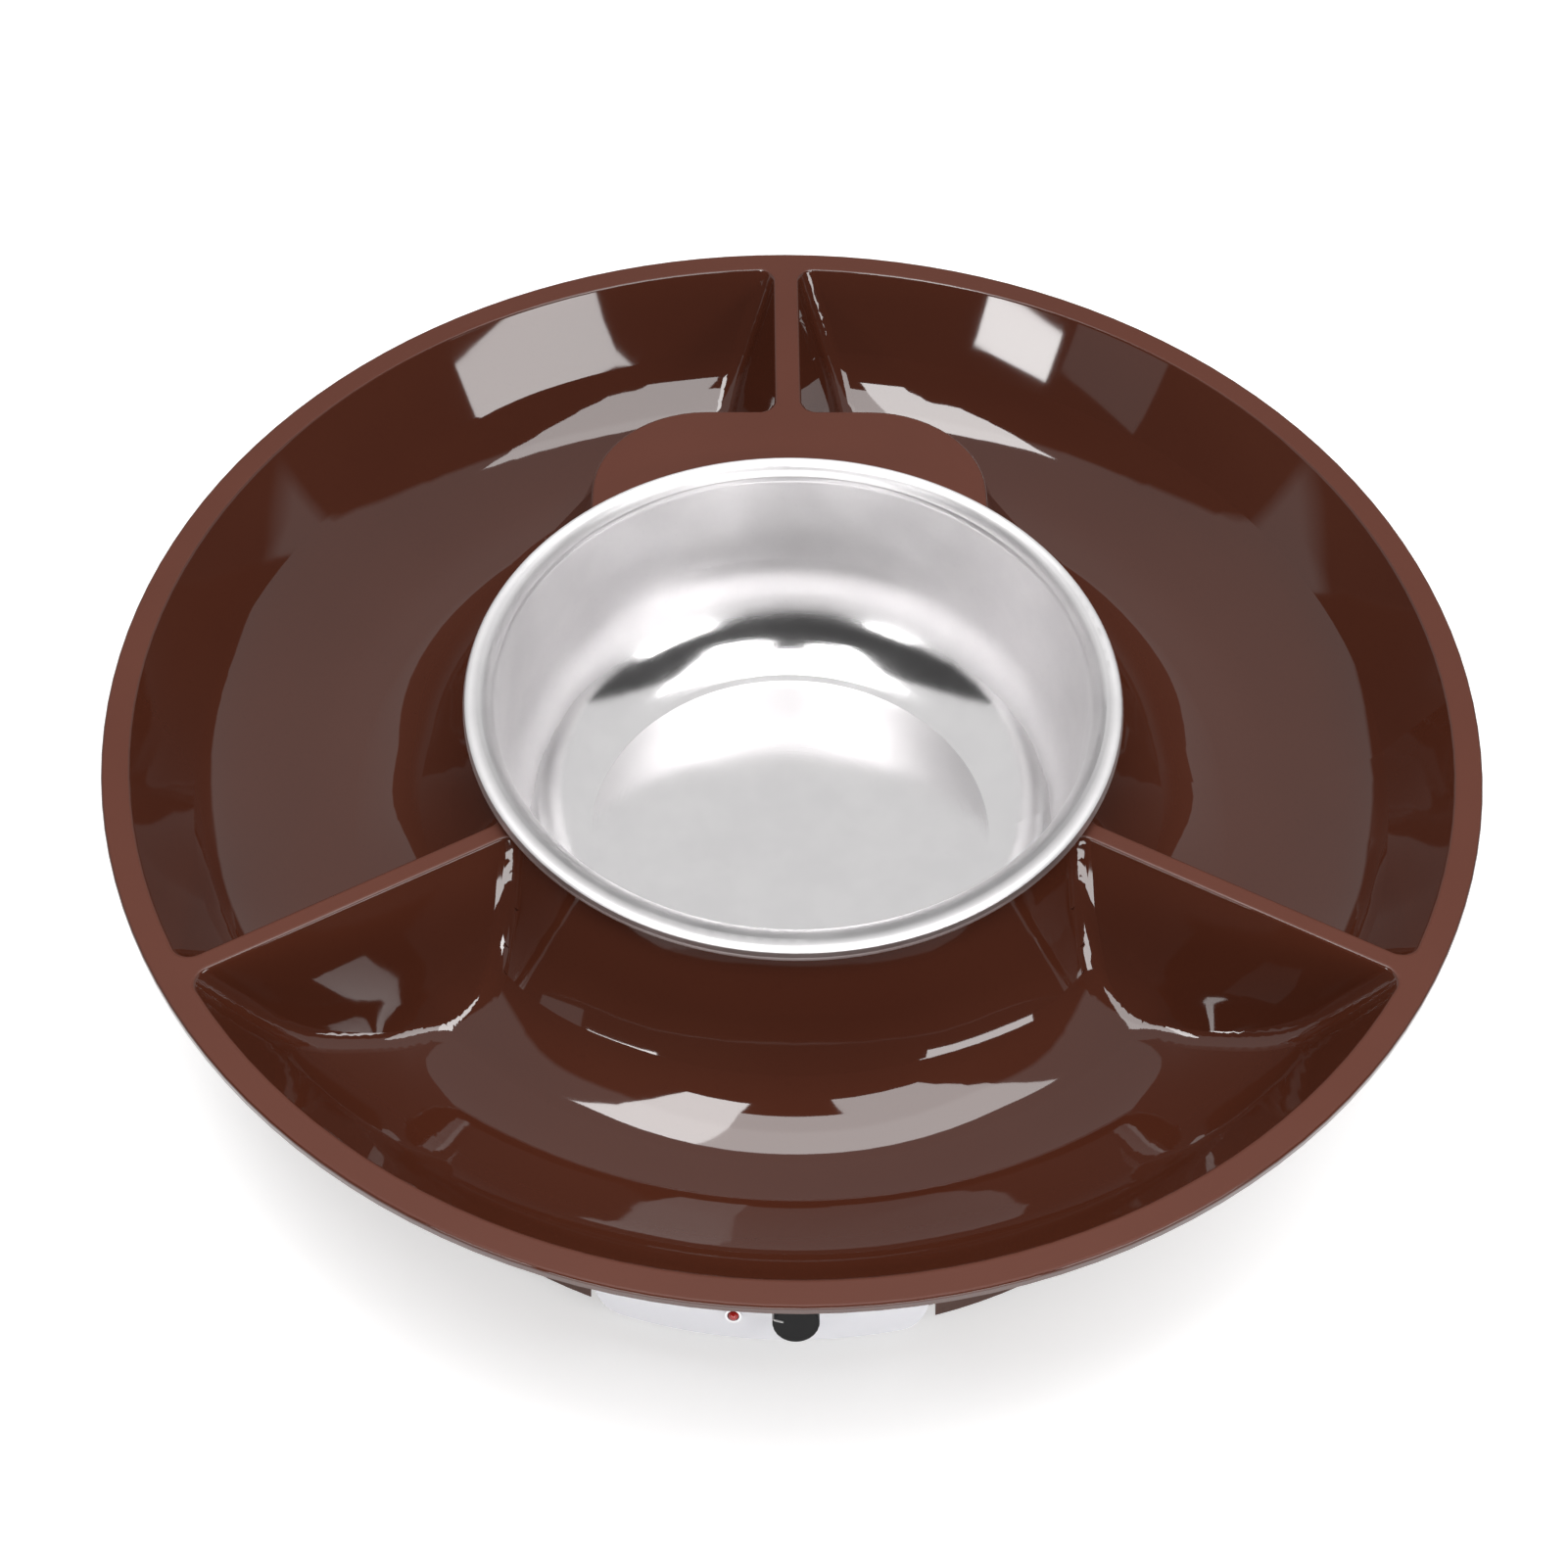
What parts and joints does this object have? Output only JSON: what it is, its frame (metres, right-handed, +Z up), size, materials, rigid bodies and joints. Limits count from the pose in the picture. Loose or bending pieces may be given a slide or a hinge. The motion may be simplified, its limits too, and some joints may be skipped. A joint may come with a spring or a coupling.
{
  "type": "chocolate melting pot",
  "caption": "Metal melting pot in the hub of a round serving tray with divided compartments, on a low heated base with a front panel, rotary knob and indicator lamp.",
  "frame": {"origin": "centre of the round tray and base, on the table plane under the feet", "axes": "+Z up, -Y towards the front with the panel, knob and lamp, +X to the right seen from the front"},
  "size_m": [0.3, 0.3, 0.088],
  "materials": {
    "tray_brown": "glossy dark brown moulded plastic",
    "base_brown": "semi-gloss brown moulded plastic",
    "panel_white": "glossy white moulded plastic",
    "knob_black": "satin black plastic",
    "pot_steel": "polished stainless steel",
    "plate_aluminium": "turned cast aluminium",
    "bright_metal": "nickel plated",
    "zinc_steel": "zinc plated steel",
    "shield_steel": "aluminised sheet steel",
    "foot_rubber": "soft black rubber",
    "seal_silicone": "red silicone rubber",
    "element_mica": "mica sheet element",
    "pad_fibre": "pressed ceramic fibre",
    "terminal_brass": "bright brass",
    "switch_plastic": "dark grey plastic",
    "thermostat_ceramic": "cream ceramic case",
    "fuse_sleeve": "woven glass sleeve",
    "block_nylon": "natural nylon",
    "gland_plastic": "black plastic",
    "lamp_red": "translucent red lens",
    "lead_brown": "brown silicone insulation",
    "lead_blue": "blue silicone insulation",
    "lead_white": "white silicone insulation"
  },
  "bodies": {
    "base": {"base_housing": "base_brown", "bottom_cover": "base_brown", "base_screws": "zinc_steel", "rubber_feet": "foot_rubber", "heating_plate": "plate_aluminium", "plate_seal": "seal_silicone", "heating_element": "element_mica", "insulation_pad": "pad_fibre", "element_terminals": "terminal_brass", "heat_shield": "shield_steel", "shield_screws": "zinc_steel", "thermostat": "thermostat_ceramic", "thermal_fuse": "fuse_sleeve", "fuse_clamp": "shield_steel", "control_panel": "panel_white", "switch_collar": "bright_metal", "rotary_switch": "switch_plastic", "switch_tabs": "terminal_brass", "indicator_bezel": "bright_metal", "indicator_lamp": "lamp_red", "indicator_nut": "switch_plastic", "cord_gland": "gland_plastic", "terminal_block": "block_nylon", "terminal_screws": "zinc_steel", "supply_lead": "lead_brown", "switch_lead": "lead_brown", "thermostat_lead": "lead_brown", "element_lead": "lead_blue", "fuse_lead": "lead_blue", "lamp_leads": "lead_white"},
    "knob": {"control_knob": "knob_black", "knob_shaft": "bright_metal"},
    "tray": {"serving_tray": "tray_brown"},
    "pot": {"melting_pot": "pot_steel"}
  },
  "joints": [
    {"name": "knob_turn", "type": "hinge", "parent": "base", "child": "knob", "pos_m": [0, -0.11056, 0.015], "axis": [0, 0.9272, -0.3746], "range_deg": [0, 120]},
    {"name": "tray_lift", "type": "slide", "parent": "base", "child": "tray", "axis": [0, 0, 1], "range_m": [0, 0.1]},
    {"name": "pot_lift", "type": "slide", "parent": "tray", "child": "pot", "axis": [0, 0, 1], "range_m": [0, 0.08]}
  ]
}
